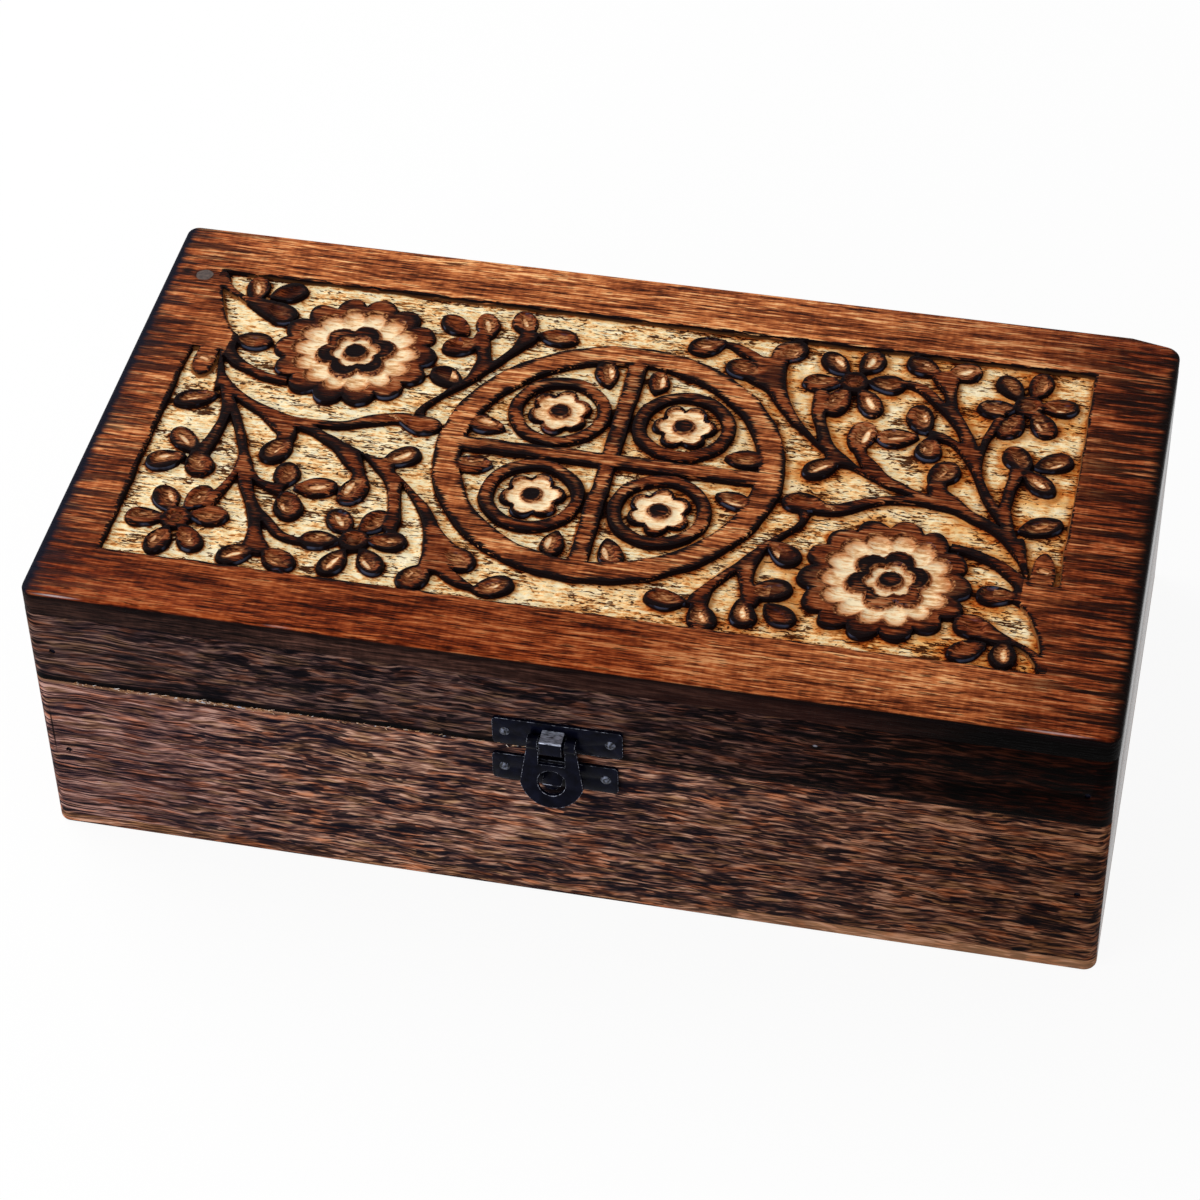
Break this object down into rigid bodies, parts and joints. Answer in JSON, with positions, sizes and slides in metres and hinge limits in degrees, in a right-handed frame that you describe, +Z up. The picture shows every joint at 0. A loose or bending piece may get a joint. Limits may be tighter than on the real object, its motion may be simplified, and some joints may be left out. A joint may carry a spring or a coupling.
{
  "type": "essential oil box",
  "caption": "Rectangular wooden box with a scroll-and-rosette carved lid, butt hinges at the back, an iron hasp in front and a lattice inside that keeps small bottles apart.",
  "frame": {"origin": "centre of the underside, on the surface that the box stands on", "axes": "+X to the right along the front, +Y to the back, +Z up"},
  "size_m": [0.282, 0.1612, 0.086],
  "materials": {
    "stained_mango_wood": "dark stained, burnt edges, thin lacquer",
    "bare_mango_wood": "bare sawn wood",
    "blackened_iron": "black japanned iron, semi-gloss",
    "bright_steel": "brass-washed steel"
  },
  "bodies": {
    "base": {"bottom_panel": "stained_mango_wood", "base_front_board": "stained_mango_wood", "base_back_board": "stained_mango_wood", "base_left_board": "stained_mango_wood", "base_right_board": "stained_mango_wood", "cross_divider_1": "bare_mango_wood", "cross_divider_2": "bare_mango_wood", "cross_divider_3": "bare_mango_wood", "cross_divider_4": "bare_mango_wood", "cross_divider_5": "bare_mango_wood", "long_divider_1": "bare_mango_wood", "long_divider_2": "bare_mango_wood", "long_divider_3": "bare_mango_wood", "base_corner_nails": "blackened_iron", "bottom_nails": "blackened_iron", "clasp_catch_plate": "blackened_iron", "clasp_catch_nails": "blackened_iron", "hinge_left_base_leaf": "bright_steel", "hinge_right_base_leaf": "bright_steel", "hinge_left_pin": "bright_steel", "hinge_right_pin": "bright_steel", "hinge_base_screws": "bright_steel"},
    "lid": {"lid_top_board": "stained_mango_wood", "lid_front_board": "stained_mango_wood", "lid_back_board": "stained_mango_wood", "lid_left_board": "stained_mango_wood", "lid_right_board": "stained_mango_wood", "lid_corner_nails": "blackened_iron", "top_board_nail": "blackened_iron", "clasp_hasp_plate": "blackened_iron", "clasp_hasp_plate_nails": "blackened_iron", "hinge_left_lid_leaf": "bright_steel", "hinge_right_lid_leaf": "bright_steel", "hinge_lid_screws": "bright_steel"},
    "hasp": {"clasp_hasp": "blackened_iron"}
  },
  "joints": [
    {"name": "lid_hinge", "type": "hinge", "parent": "base", "child": "lid", "pos_m": [0, 0.075, 0.055], "axis": [-1, 0, 0], "range_deg": [0, 103]},
    {"name": "hasp_swing", "type": "hinge", "parent": "lid", "child": "hasp", "pos_m": [-0.0009, -0.08025, 0.06065], "axis": [-1, 0, 0], "range_deg": [0, 150]}
  ]
}
